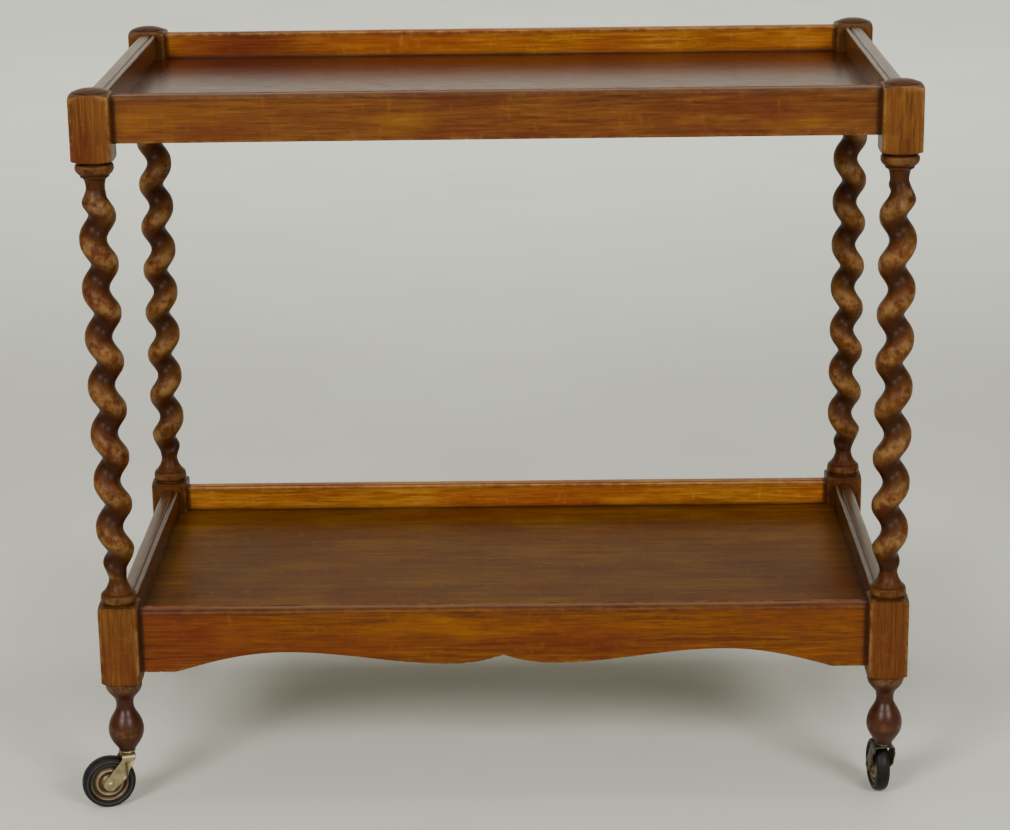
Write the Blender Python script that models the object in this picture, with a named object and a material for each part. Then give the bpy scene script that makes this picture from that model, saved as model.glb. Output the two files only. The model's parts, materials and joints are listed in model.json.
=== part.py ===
"""Two-tier tea trolley with barley-twist legs and swivel casters.

Metres, +Z up. The origin is the centre of the footprint on the floor, the long
front faces -Y, and each caster trails in its own direction.
"""

import math

import bmesh
import bpy

# Driving dimensions.
WIDTH = 0.784
DEPTH = 0.430
HEIGHT = 0.7155
POST = 0.038
RAIL_THICKNESS = 0.018
RAIL_SETBACK = 0.012
RAIL_HEIGHT = 0.044
APRON_HEIGHT = 0.0635
TOP_RAIL_TOP = 0.7085
LOWER_RAIL_TOP = 0.205
TRAY_DEPTH = 0.0255
PANEL_THICKNESS = 0.006
GROOVE_DEPTH = 0.005
GAP = 0.0003
CUT_MARGIN = 0.001

TENON_LENGTH = 0.012
TENON_THICKNESS = 0.0076
TENON_SHOULDER_BELOW = 0.006
TENON_SHOULDER_ABOVE = 0.008
TENON_ROOT = 0.004

# Lower edge of the aprons: flat ends, a rise to two peaks, a dip and a middle cusp.
WAVE_END = 0.320
WAVE_PEAK = 0.214
WAVE_LOBE = 0.050
PEAK_RISE = 0.0197
LOBE_RISE = 0.0060
CUSP_RISE = 0.0150

# Barley twist: one strand that climbs one pitch a turn. Its radius is a sum of cosines of the
# angle from its crest, and each leg's crests sit a little higher or lower, as hand turning leaves them.
TWIST_PITCH = 0.0473
TWIST_DATUM = 0.5691
STRAND_HARMONICS = (0.01342, 0.00510, -0.00029, -0.00020)
TWIST_TOP = 0.6175
TWIST_BOTTOM = 0.2415
TWIST_LIFTS = {"front_left": 0.0050, "front_right": -0.0045, "rear_left": -0.0012, "rear_right": -0.0048}
TWIST_RINGS_PER_TURN = 5
LEG_SIDES = 12

# The twist grows out of a neck at each end: neck radius, neck height, rate of growth.
UPPER_NECK = (0.0090, 0.6215, 1.24)
LOWER_NECK = (0.0087, 0.2385, 1.01)
NECK_GROWTH_POWER = 1.25

# Square blocks of the legs, and how far the lathe eased their corners.
TOP_BLOCK_BOTTOM = 0.6480
LOWER_BLOCK_TOP = 0.2123
LOWER_BLOCK_BOTTOM = 0.1315
EASED_HEIGHT = 0.0080

# Swivel casters.
WHEEL_RADIUS = 0.0265
TYRE_WIDTH = 0.0135
RIM_RADIUS = 0.0185
TRAIL = 0.020
FORK_HALF_WIDTH = 0.0106
FORK_SHEET = 0.0016
FORK_BEND = 0.0030
FORK_TOP = 0.0556
FORK_REACH = 0.012
FORK_END_RADIUS = 0.0065
AXLE_RADIUS = 0.0022
AXLE_HEAD = 0.0012
STEM_RADIUS = 0.0037
STEM_DROP = 0.003
RIVET_RADIUS = 0.0030
SOCKET_RADIUS = 0.0052
SOCKET_TOP = 0.091
FOOT_BOTTOM = 0.058
FLANGE_RADIUS = 0.0076
FLANGE_THICKNESS = 0.0015
TURNED_SIDES = 12
WHEEL_SIDES = 24

POST_X = (WIDTH - POST) / 2
POST_Y = (DEPTH - POST) / 2
CORNERS = {
    "front_left": (-1, -1),
    "front_right": (1, -1),
    "rear_left": (-1, 1),
    "rear_right": (1, 1),
}
TRAIL_DIRECTIONS = {
    "front_left": math.radians(198),
    "front_right": math.radians(97),
    "rear_left": math.radians(277),
    "rear_right": math.radians(18),
}

# Linear colour, roughness, metallic.
FINISHES = {
    "rail_oak": ((0.165, 0.058, 0.012), 0.42, 0.0),
    "leg_oak": ((0.090, 0.027, 0.009), 0.35, 0.0),
    "panel_oak": ((0.110, 0.050, 0.022), 0.30, 0.0),
    "plated_steel": ((0.36, 0.32, 0.24), 0.35, 1.0),
    "bronze": ((0.13, 0.075, 0.038), 0.45, 0.8),
    "rubber": ((0.018, 0.018, 0.018), 0.60, 0.0),
}


def clear_scene():
    for thing in list(bpy.data.objects):
        bpy.data.objects.remove(thing, do_unlink=True)


def make_finish(name):
    colour, roughness, metallic = FINISHES[name]
    finish = bpy.data.materials.new(name)
    finish.use_nodes = True
    shader = finish.node_tree.nodes["Principled BSDF"]
    shader.inputs["Base Color"].default_value = (*colour, 1.0)
    shader.inputs["Roughness"].default_value = roughness
    shader.inputs["Metallic"].default_value = metallic
    finish.diffuse_color = (*colour, 1.0)
    return finish


def make_object(name, bm, finish=None, parent=None, location=(0, 0, 0), smooth=True):
    """Closes the bmesh into an object whose faces point out."""
    bmesh.ops.recalc_face_normals(bm, faces=bm.faces)
    mesh = bpy.data.meshes.new(name)
    bm.to_mesh(mesh)
    bm.free()
    if smooth:
        mesh.shade_smooth()
        mesh.set_sharp_from_angle(angle=math.radians(40))
    thing = bpy.data.objects.new(name, mesh)
    bpy.context.scene.collection.objects.link(thing)
    thing.location = location
    thing.parent = parent
    if finish:
        mesh.materials.append(finish)
    return thing


def make_cutter(name, bm, parent=None):
    cutter = make_object(name, bm, parent=parent, smooth=False)
    cutter.display_type = "WIRE"
    cutter.hide_render = True
    return cutter


def combine(thing, other, operation):
    boolean = thing.modifiers.new(operation.title(), "BOOLEAN")
    boolean.operation = operation
    boolean.object = other
    boolean.solver = "EXACT"


def add_box(bm, low, high):
    corners = bmesh.ops.create_cube(bm, size=1.0)["verts"]
    for corner in corners:
        for axis in range(3):
            middle = (low[axis] + high[axis]) / 2
            corner.co[axis] = middle + corner.co[axis] * (high[axis] - low[axis])


def prism(outline, axis, start, end):
    """A closed outline swept along X (axis 0) or Y (axis 1).

    Outline points are (y, z) for a sweep along X and (x, z) for one along Y.
    """
    bm = bmesh.new()
    points = []
    for across, up in outline:
        point = (start, across, up) if axis == 0 else (across, start, up)
        points.append(bm.verts.new(point))
    face = bm.faces.new(points)
    swept = bmesh.ops.extrude_face_region(bm, geom=[face])["geom"]
    for item in swept:
        if isinstance(item, bmesh.types.BMVert):
            item.co[axis] = end
    return bm


def arc(centre, radius, first, last, steps):
    """Points on an arc from angle first to angle last, both in degrees."""
    points = []
    for step in range(steps + 1):
        angle = math.radians(first + (last - first) * step / steps)
        points.append((centre[0] + radius * math.cos(angle), centre[1] + radius * math.sin(angle)))
    return points


def turned(profile, sides, closed=False, along_y=False):
    """A profile of (radius, height) points spun about Z, or about Y for a wheel."""
    bm = bmesh.new()
    verts = [bm.verts.new((radius, 0, height)) for radius, height in profile]
    edges = [bm.edges.new(pair) for pair in zip(verts, verts[1:])]
    if closed:
        edges.append(bm.edges.new((verts[-1], verts[0])))
    bmesh.ops.spin(
        bm, geom=verts + edges, cent=(0, 0, 0), axis=(0, 0, 1), angle=math.tau, steps=sides, use_merge=True
    )
    bmesh.ops.remove_doubles(bm, verts=bm.verts, dist=1e-6)
    if along_y:
        for vert in bm.verts:
            x, y, z = vert.co
            vert.co = (x, z, -y)
    return bm


# Legs.

def square_reach(half, azimuth):
    """Distance from the centre to the side of a square at this azimuth."""
    return half / max(abs(math.cos(azimuth)), abs(math.sin(azimuth)))


def twist_envelope(z):
    """Largest radius the turner left at the two ends of the twist."""
    radius, height, rate = UPPER_NECK
    from_top = radius + rate * max(0.0, height - z) ** NECK_GROWTH_POWER
    radius, height, rate = LOWER_NECK
    from_bottom = radius + rate * max(0.0, z - height) ** NECK_GROWTH_POWER
    return min(from_top, from_bottom)


def twist_reach(z, azimuth, hand, lift):
    """Radius of the strand; hand +1 climbs anticlockwise from above going down."""
    crest = math.tau * (TWIST_DATUM + lift - z) / TWIST_PITCH
    offset = hand * (azimuth - math.pi / 2) - math.pi / 2 - crest
    strand = sum(size * math.cos(order * offset) for order, size in enumerate(STRAND_HARMONICS))
    return min(strand, twist_envelope(z))


def block_rings(top, bottom, top_turn, bottom_turn):
    """Square block whose corners the lathe has eased at one or both ends."""
    half = POST / 2
    corner = half * math.sqrt(2)
    rings = []
    eased = ((0.0, 1.0), (0.35 * EASED_HEIGHT, 0.42), (EASED_HEIGHT, 0.0))
    for drop, share in eased:
        rings.append((top - drop, half, corner - share * (corner - top_turn)))
    for rise, share in reversed(eased):
        rings.append((bottom + rise, half, corner - share * (corner - bottom_turn)))
    return rings


def leg_rings():
    """Stations down the leg: height, half side of the square (or None), turned radius."""
    corner = POST / 2 * math.sqrt(2)
    rings = [(HEIGHT, 0.0125, corner), (HEIGHT - 0.0015, 0.0168, corner), (HEIGHT - 0.0045, POST / 2, corner)]
    rings += [(TOP_BLOCK_BOTTOM + 0.0035, POST / 2, corner), (TOP_BLOCK_BOTTOM, POST / 2, 0.0235)]
    for z, radius in (
        (TOP_BLOCK_BOTTOM, 0.0150), (0.6450, 0.0160), (0.6400, 0.0183), (0.6355, 0.0166), (0.6340, 0.0134),
        (0.6285, 0.0110), (0.6215, 0.0090),
    ):
        rings.append((z, None, radius))
    turns = (TWIST_TOP - TWIST_BOTTOM) / TWIST_PITCH
    steps = round(turns * TWIST_RINGS_PER_TURN)
    for step in range(steps + 1):
        rings.append((TWIST_TOP + (TWIST_BOTTOM - TWIST_TOP) * step / steps, None, None))
    for z, radius in (
        (0.2365, 0.0087), (0.2285, 0.0117), (0.2225, 0.0159), (0.2160, 0.0176), (LOWER_BLOCK_TOP, 0.0165),
    ):
        rings.append((z, None, radius))
    rings += block_rings(LOWER_BLOCK_TOP, LOWER_BLOCK_BOTTOM, 0.0186, 0.0196)
    for z, radius in (
        (LOWER_BLOCK_BOTTOM, 0.0172), (0.1260, 0.0178), (0.1205, 0.0160), (0.1145, 0.0106), (0.1060, 0.0085),
        (0.0989, 0.0107), (0.0917, 0.0148), (0.0794, 0.0174), (0.0708, 0.0156), (0.0642, 0.0115),
        (FOOT_BOTTOM, 0.0080),
    ):
        rings.append((z, None, radius))
    return rings


def leg_reach(ring, azimuth, hand, lift):
    z, half, radius = ring
    if half:
        return min(square_reach(half, azimuth), radius)
    if radius:
        return radius
    return twist_reach(z, azimuth, hand, lift)


def leg_body(hand, lift):
    """Turned leg on its own axis: rings of points joined from the top down."""
    bm = bmesh.new()
    loops = []
    for ring in leg_rings():
        loop = []
        for side in range(LEG_SIDES):
            azimuth = math.tau * (side + 0.5) / LEG_SIDES
            reach = leg_reach(ring, azimuth, hand, lift)
            loop.append(bm.verts.new((reach * math.cos(azimuth), reach * math.sin(azimuth), ring[0])))
        loops.append(loop)
    for upper, lower in zip(loops, loops[1:]):
        for side in range(LEG_SIDES):
            after = (side + 1) % LEG_SIDES
            bm.faces.new((upper[side], upper[after], lower[after], lower[side]))
    bm.faces.new(loops[0])
    bm.faces.new(loops[-1])
    return bm


def tenon_heights(rail_top):
    return rail_top - RAIL_HEIGHT + TENON_SHOULDER_BELOW, rail_top - TENON_SHOULDER_ABOVE


def mortise_cutter(corner, side_x, side_y):
    """Four slots for the tenons of the rails that meet at this leg."""
    bm = bmesh.new()
    tenon_x = (WIDTH / 2 - RAIL_SETBACK - RAIL_THICKNESS / 2 - POST_X) * side_x
    tenon_y = (DEPTH / 2 - RAIL_SETBACK - RAIL_THICKNESS / 2 - POST_Y) * side_y
    half = TENON_THICKNESS / 2 + GAP
    inner = POST / 2 - TENON_LENGTH - GAP
    outer = POST / 2 + GAP
    for rail_top in (TOP_RAIL_TOP, LOWER_RAIL_TOP):
        bottom, top = tenon_heights(rail_top)
        reach_x = sorted((-side_x * inner, -side_x * outer))
        reach_y = sorted((-side_y * inner, -side_y * outer))
        low, high = bottom - GAP, top + GAP
        add_box(bm, (reach_x[0], tenon_y - half, low), (reach_x[1], tenon_y + half, high))
        add_box(bm, (tenon_x - half, reach_y[0], low), (tenon_x + half, reach_y[1], high))
    return make_cutter("mortises_" + corner, bm)


def bore_cutter(corner):
    """Hole up the foot for the caster socket."""
    radius = SOCKET_RADIUS + GAP
    top, bottom = SOCKET_TOP + GAP, FOOT_BOTTOM - CUT_MARGIN
    profile = [(0, top), (radius, top), (radius, bottom), (0, bottom)]
    return make_cutter("socket_bore_" + corner, turned(profile, TURNED_SIDES))


def make_leg(corner, finish):
    side_x, side_y = CORNERS[corner]
    hand = side_x * side_y
    leg = make_object("leg_" + corner, leg_body(hand, TWIST_LIFTS[corner]), finish)
    for cutter in (mortise_cutter(corner, side_x, side_y), bore_cutter(corner)):
        cutter.parent = leg
        combine(leg, cutter, "DIFFERENCE")
    leg.location = (side_x * POST_X, side_y * POST_Y, 0)


# Rails, aprons and panels.

def rail_section(rail_top, height):
    """Section of a rail, outer face at 0 and inner face at the thickness.

    The top is slightly crowned, with a sunk line and a small bead along its
    inner arris, and a groove below holds the panel.
    """
    inner = RAIL_THICKNESS
    groove_top = rail_top - TRAY_DEPTH + GAP
    groove_bottom = rail_top - TRAY_DEPTH - PANEL_THICKNESS - GAP
    outline = [(0, rail_top - height), (0, rail_top - 0.0035), (0.0010, rail_top - 0.0010)]
    outline += [(0.0035, rail_top), (0.0125, rail_top - 0.0002), (0.0130, rail_top - 0.0013)]
    outline += [(0.0135, rail_top - 0.0004), (0.0158, rail_top), (inner, rail_top - 0.0020)]
    outline += [(inner, groove_top), (inner - GROOVE_DEPTH, groove_top)]
    outline += [(inner - GROOVE_DEPTH, groove_bottom), (inner, groove_bottom), (inner, rail_top - height)]
    return outline


def tenon_pair(axis, half_length, middle, rail_top):
    """The two stub tenons of a rail, each started a little inside its end."""
    bm = bmesh.new()
    bottom, top = tenon_heights(rail_top)
    half = TENON_THICKNESS / 2
    for side in (-1, 1):
        reach = sorted((side * (half_length - TENON_ROOT), side * (half_length + TENON_LENGTH)))
        if axis == 0:
            add_box(bm, (reach[0], middle - half, bottom), (reach[1], middle + half, top))
        else:
            add_box(bm, (middle - half, reach[0], bottom), (middle + half, reach[1], top))
    return bm


def make_rail(name, axis, side, rail_top, height, finish):
    """A rail along X (axis 0) or Y (axis 1) on the given side of the trolley."""
    outer = ((DEPTH, WIDTH)[axis] / 2 - RAIL_SETBACK) * side
    half_length = (POST_X, POST_Y)[axis] - POST / 2 - GAP
    outline = [(outer - side * across, up) for across, up in rail_section(rail_top, height)]
    rail = make_object(name, prism(outline, axis, -half_length, half_length), finish, smooth=False)
    middle = outer - side * RAIL_THICKNESS / 2
    tenons = make_cutter(name + "_tenons", tenon_pair(axis, half_length, middle, rail_top))
    combine(rail, tenons, "UNION")
    return rail


def apron_rise(across):
    """Height of the shaped lower edge above the apron's ends, at a distance from the middle."""
    if across >= WAVE_PEAK:
        return PEAK_RISE * math.sin(math.pi / 2 * (WAVE_END - across) / (WAVE_END - WAVE_PEAK))
    if across >= WAVE_LOBE:
        swing = math.cos(math.pi * (WAVE_PEAK - across) / (WAVE_PEAK - WAVE_LOBE))
        return LOBE_RISE + (PEAK_RISE - LOBE_RISE) * (1 + swing) / 2
    return LOBE_RISE + (CUSP_RISE - LOBE_RISE) * (1 - across / WAVE_LOBE) ** 2


def make_apron(name, side, finish):
    """Lower front or rear rail with its bottom edge cut to a shallow wave."""
    apron = make_rail(name, 0, side, LOWER_RAIL_TOP, APRON_HEIGHT, finish)
    bottom = LOWER_RAIL_TOP - APRON_HEIGHT
    half = [0.0, 0.010, 0.022, 0.036, WAVE_LOBE, 0.080, 0.112, 0.146, 0.180, WAVE_PEAK]
    half += [0.245, 0.275, 0.300, WAVE_END]
    stations = [-x for x in reversed(half[1:])] + half
    wave = [(x, bottom + apron_rise(abs(x))) for x in stations]
    outline = [(-WAVE_END, bottom - CUT_MARGIN)] + wave + [(WAVE_END, bottom - CUT_MARGIN)]
    outer = (DEPTH / 2 - RAIL_SETBACK + CUT_MARGIN) * side
    inner = outer - side * (RAIL_THICKNESS + 2 * CUT_MARGIN)
    cutter = make_cutter(name + "_wave", prism(outline, 1, outer, inner))
    combine(apron, cutter, "DIFFERENCE")


def make_panel(name, rail_top, finish):
    """Flat panel held in the rails' grooves and notched round the legs."""
    reach_x = WIDTH / 2 - RAIL_SETBACK - RAIL_THICKNESS + GROOVE_DEPTH - GAP
    reach_y = DEPTH / 2 - RAIL_SETBACK - RAIL_THICKNESS + GROOVE_DEPTH - GAP
    notch_x = POST_X - POST / 2 - GAP
    notch_y = POST_Y - POST / 2 - GAP
    quarter = [(reach_x, notch_y), (notch_x, notch_y), (notch_x, reach_y)]
    outline = quarter + [(-x, y) for x, y in reversed(quarter)]
    outline += [(-x, -y) for x, y in quarter] + [(x, -y) for x, y in reversed(quarter)]
    bm = bmesh.new()
    top = rail_top - TRAY_DEPTH
    face = bm.faces.new([bm.verts.new((x, y, top)) for x, y in outline])
    for item in bmesh.ops.extrude_face_region(bm, geom=[face])["geom"]:
        if isinstance(item, bmesh.types.BMVert):
            item.co.z -= PANEL_THICKNESS
    make_object(name, bm, finish, smooth=False)


# Casters: each hangs from an empty on its swivel axis, turned to its trail.

def socket_profile():
    bore = STEM_RADIUS + GAP
    flange_top = FOOT_BOTTOM - GAP
    flange_bottom = flange_top - FLANGE_THICKNESS
    return [
        (bore, SOCKET_TOP), (SOCKET_RADIUS, SOCKET_TOP), (SOCKET_RADIUS, flange_top),
        (FLANGE_RADIUS, flange_top), (FLANGE_RADIUS, flange_bottom), (bore, flange_bottom),
    ]


def stem_profile():
    """Stem with a shoulder on the crown plate and a rivet head below it."""
    head_top = FORK_TOP - FORK_SHEET - GAP
    shoulder = FORK_TOP + GAP
    stem_top = SOCKET_TOP - STEM_DROP
    return [
        (0, stem_top), (STEM_RADIUS, stem_top), (STEM_RADIUS, shoulder),
        (RIVET_RADIUS, shoulder), (RIVET_RADIUS, head_top), (0.0045, head_top),
        (0.0038, head_top - AXLE_HEAD), (0, head_top - AXLE_HEAD),
    ]


def fork_side_outline():
    """Leg seen from the side: straight front edge, raked back edge, round eye."""
    eye = arc((TRAIL, WHEEL_RADIUS), FORK_END_RADIUS, -115, 49, 6)
    crown = [(0.0073, 0.0455), (0.0073, FORK_TOP + CUT_MARGIN), (-0.0065, FORK_TOP + CUT_MARGIN)]
    front = [(-0.0065, FORK_TOP - 0.002), (-0.0042, 0.0480), (-0.0042, 0.0325), (-0.0010, 0.0285)]
    return eye + crown + front


def fork_front_section():
    """The bent sheet seen from the front, open below."""
    outer = FORK_HALF_WIDTH
    inner = outer - FORK_SHEET
    bottom = WHEEL_RADIUS - FORK_END_RADIUS - CUT_MARGIN
    centre = (outer - FORK_BEND, FORK_TOP - FORK_BEND)
    outside = arc(centre, FORK_BEND, 0, 90, 2)
    inside = arc(centre, FORK_BEND - FORK_SHEET, 0, 90, 2)
    right = [(outer, bottom)] + outside
    under = [(inner, bottom)] + inside
    across = right + [(-y, z) for y, z in reversed(right)]
    return across + [(-y, z) for y, z in under] + list(reversed(under))


def make_fork(corner, pivot, finish):
    bent_sheet = prism(fork_front_section(), 0, -FORK_REACH, TRAIL + FORK_REACH)
    fork = make_object("caster_fork_" + corner, bent_sheet, finish, pivot)
    width = FORK_HALF_WIDTH + CUT_MARGIN
    outline = make_cutter("fork_outline_" + corner, prism(fork_side_outline(), 1, -width, width), pivot)
    combine(fork, outline, "INTERSECT")
    radius = AXLE_RADIUS + GAP
    eye = turned([(0, -width), (radius, -width), (radius, width), (0, width)], TURNED_SIDES, along_y=True)
    eye_cutter = make_cutter("fork_eye_" + corner, eye, pivot)
    eye_cutter.location = (TRAIL, 0, WHEEL_RADIUS)
    combine(fork, eye_cutter, "DIFFERENCE")
    radius = RIVET_RADIUS + GAP
    low, high = FORK_TOP - FORK_BEND, FORK_TOP + CUT_MARGIN
    hole = turned([(0, high), (radius, high), (radius, low), (0, low)], TURNED_SIDES)
    combine(fork, make_cutter("stem_hole_" + corner, hole, pivot), "DIFFERENCE")


def axle_profile():
    head = FORK_HALF_WIDTH + GAP
    half = [(0, head + AXLE_HEAD), (0.0034, head + AXLE_HEAD), (0.0040, head), (AXLE_RADIUS, head)]
    return half + [(radius, -along) for radius, along in reversed(half)]


def disc_profile():
    """Dished disc with a hub boss, in (radius, distance along the axle)."""
    bore = AXLE_RADIUS + GAP
    half = [(bore, 0.0078), (0.0055, 0.0078), (0.0065, 0.0038), (RIM_RADIUS, 0.0048)]
    return half + [(radius, -along) for radius, along in reversed(half)]


def tyre_profile():
    inner = RIM_RADIUS + GAP
    half_width = TYRE_WIDTH / 2
    half = [(inner, half_width - 0.0012), (0.0215, half_width), (0.0255, half_width - 0.0014)]
    half.append((WHEEL_RADIUS, half_width - 0.0040))
    return half + [(radius, -along) for radius, along in reversed(half)]


def make_caster(corner, finishes):
    side_x, side_y = CORNERS[corner]
    place = (side_x * POST_X, side_y * POST_Y, 0)
    steel = finishes["plated_steel"]
    socket = turned(socket_profile(), TURNED_SIDES, closed=True)
    make_object("caster_socket_" + corner, socket, steel, location=place)
    pivot = bpy.data.objects.new("swivel_axis_" + corner, None)
    bpy.context.scene.collection.objects.link(pivot)
    pivot.location = place
    pivot.rotation_euler = (0, 0, TRAIL_DIRECTIONS[corner])
    make_object("caster_stem_" + corner, turned(stem_profile(), TURNED_SIDES), steel, pivot)
    make_fork(corner, pivot, steel)
    centre = (TRAIL, 0, WHEEL_RADIUS)
    axle = turned(axle_profile(), TURNED_SIDES, along_y=True)
    make_object("caster_axle_" + corner, axle, steel, pivot, centre)
    disc = turned(disc_profile(), WHEEL_SIDES, closed=True, along_y=True)
    make_object("wheel_disc_" + corner, disc, finishes["bronze"], pivot, centre)
    tyre = turned(tyre_profile(), WHEEL_SIDES, closed=True, along_y=True)
    make_object("wheel_tyre_" + corner, tyre, finishes["rubber"], pivot, centre)


def build_trolley():
    clear_scene()
    finishes = {name: make_finish(name) for name in FINISHES}
    for corner in CORNERS:
        make_leg(corner, finishes["leg_oak"])
        make_caster(corner, finishes)
    oak = finishes["rail_oak"]
    for end, side in (("front", -1), ("rear", 1)):
        make_rail("top_rail_" + end, 0, side, TOP_RAIL_TOP, RAIL_HEIGHT, oak)
        make_apron("lower_apron_" + end, side, oak)
    for end, side in (("left", -1), ("right", 1)):
        make_rail("top_rail_" + end, 1, side, TOP_RAIL_TOP, RAIL_HEIGHT, oak)
        make_rail("lower_rail_" + end, 1, side, LOWER_RAIL_TOP, RAIL_HEIGHT, oak)
    make_panel("top_panel", TOP_RAIL_TOP, finishes["panel_oak"])
    make_panel("lower_panel", LOWER_RAIL_TOP, finishes["panel_oak"])


build_trolley()
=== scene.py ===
"""The looks of the two-tier bar cart: turned oak legs, moulded rails, polished panels and casters."""

import json
import math

import bmesh
import bpy
import numpy as np
from mathutils import Matrix, Vector, noise


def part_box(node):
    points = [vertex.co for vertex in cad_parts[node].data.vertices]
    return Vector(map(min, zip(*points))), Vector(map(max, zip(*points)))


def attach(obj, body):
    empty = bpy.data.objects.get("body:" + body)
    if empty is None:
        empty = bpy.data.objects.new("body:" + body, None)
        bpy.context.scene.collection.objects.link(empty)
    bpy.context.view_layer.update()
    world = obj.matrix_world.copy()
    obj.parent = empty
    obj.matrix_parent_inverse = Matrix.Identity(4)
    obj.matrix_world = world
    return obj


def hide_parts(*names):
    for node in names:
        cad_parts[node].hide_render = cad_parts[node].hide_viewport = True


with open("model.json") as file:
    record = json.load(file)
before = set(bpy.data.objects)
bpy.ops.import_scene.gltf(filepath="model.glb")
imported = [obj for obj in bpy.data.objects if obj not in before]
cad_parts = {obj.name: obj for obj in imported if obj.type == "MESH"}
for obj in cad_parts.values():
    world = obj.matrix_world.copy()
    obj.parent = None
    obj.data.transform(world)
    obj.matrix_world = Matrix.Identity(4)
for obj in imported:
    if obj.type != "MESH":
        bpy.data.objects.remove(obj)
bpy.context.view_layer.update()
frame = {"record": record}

CORNERS = ("front_left", "front_right", "rear_left", "rear_right")

# Sizes shared by the pieces, read from the frame.
leg_low, leg_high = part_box("leg_front_left")
POST = leg_high[0] - leg_low[0]
HEIGHT = leg_high[2]
FOOT_BOTTOM = leg_low[2]

# Leg: heights of its square blocks, in metres, and the radii that their corners are worked to.
# A turned radius past the corner takes nothing away.
TOP_BLOCK_BOTTOM = 0.6480
LOWER_BLOCK_TOP = 0.2123
LOWER_BLOCK_BOTTOM = 0.1315
BLOCK_EDGE = 0.0027
CORNER_REACH = 0.0269
PAST_CORNER = 0.0300
POINTS_PER_FACE = 24

# Heights of the dirty grooves between a leg's turned rings.
GROOVES = (0.6468, 0.6347, 0.2137, 0.2234, 0.1135)

# The low dome on top of each leg. The cap share is where the dome ends and its rounded edge begins.
DOME_RADIUS = 0.0174
DOME_DROP = 0.0036
CAP_SHARE = 0.93

# Barley twist: one strand's section as harmonics of the angle from its crest, and where crests lie.
TWIST_PITCH = 0.0473
TWIST_DATUM = 0.5691
TWIST_LIFTS = {"front_left": 0.0050, "front_right": -0.0045, "rear_left": -0.0012, "rear_right": -0.0048}
TWIST_STEP = 0.0012
STRAND_HARMONICS = (0.01342, 0.00510, -0.00029, -0.00020)

# The twist grows out of a neck at each end: neck radius, neck height, rate of growth.
UPPER_NECK = (0.0090, 0.6215, 1.24)
LOWER_NECK = (0.0087, 0.2385, 1.01)
NECK_GROWTH_POWER = 1.25
NECK_SETTLING = 0.0110
TWIST_SOFTENING = 0.0042

# Aprons: flat ends, a rise to two peaks, a dip and a middle cusp.
WAVE_END = 0.320
WAVE_PEAK = 0.214
WAVE_LOBE = 0.050
PEAK_RISE = 0.0197
LOBE_RISE = 0.0060
CUSP_RISE = 0.0150

# Casters: the wheel, how far its axle trails the swivel axis, and the thickness of the fork.
# A turned end closes at a radius that is on its axis to the eye.
WHEEL_RADIUS = 0.0265
TRAIL = 0.020
FORK_SHEET = 0.0016
ON_AXIS = 0.00002


# Mesh helpers.

def smooth_step(value):
    """Eases a share from 0 to 1."""
    value = np.clip(value, 0.0, 1.0)
    return value * value * (3 - 2 * value)


def wander(point, size, amount):
    """Slow unevenness at a point, for hand-worked surfaces."""
    return noise.noise(Vector(point) / size) * amount


def curve_through(points, steps):
    """Catmull-Rom points through a list of pairs."""
    padded = [points[0]] + list(points) + [points[-1]]
    result = []
    for index in range(1, len(padded) - 2):
        before, start, end, after = (np.array(p) for p in padded[index - 1:index + 3])
        for step in range(steps):
            t = step / steps
            result.append(tuple(
                0.5 * (2 * start + (end - before) * t + (2 * before - 5 * start + 4 * end - after) * t * t
                       + (3 * start - before - 3 * end + after) * t ** 3)
            ))
    result.append(tuple(points[-1]))
    return result


def arc(centre, radius, first, last, steps):
    """Points on an arc from angle first to angle last, both in degrees."""
    angles = np.radians(np.linspace(first, last, steps + 1))
    return [(centre[0] + radius * math.cos(a), centre[1] + radius * math.sin(a)) for a in angles]


def rings_to_mesh(name, rings, marks, closed=True, caps=True):
    """Joins rings of points into a skin. marks holds named values for every point."""
    rings = np.array(rings)
    count, size = rings.shape[:2]
    verts = rings.reshape(-1, 3)
    faces = []
    last = size if closed else size - 1
    for ring in range(count - 1):
        here, there = ring * size, (ring + 1) * size
        for place in range(last):
            after = (place + 1) % size
            faces.append((here + place, here + after, there + after, there + place))
    if caps:
        faces.append(tuple(range(size)))
        faces.append(tuple((count - 1) * size + place for place in reversed(range(size))))
    mesh = bpy.data.meshes.new(name)
    mesh.from_pydata(verts.tolist(), [], faces)
    for mark, values in marks.items():
        layer = mesh.attributes.new(mark, "FLOAT", "POINT")
        layer.data.foreach_set("value", np.array(values, dtype=np.float32).reshape(-1))
    outward(mesh)
    return mesh


def outward(mesh):
    """Turns every face of a closed skin outwards."""
    bm = bmesh.new()
    bm.from_mesh(mesh)
    bmesh.ops.recalc_face_normals(bm, faces=bm.faces)
    bm.to_mesh(mesh)
    bm.free()
    mesh.update()


def place_piece(name, mesh, finish, node, angle=40):
    """Links a mesh as the piece that stands for a CAD node, on the node's body."""
    mesh.shade_smooth()
    mesh.set_sharp_from_angle(angle=math.radians(angle))
    mesh.materials.append(finish)
    piece = bpy.data.objects.new(name, mesh)
    bpy.context.scene.collection.objects.link(piece)
    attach(piece, BODY_OF[node])
    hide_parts(node)
    return piece


BODY_OF = {}
for body, nodes in frame["record"]["behaviour"]["bodies"].items():
    for node in nodes:
        BODY_OF[node] = body


# Materials.

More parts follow.
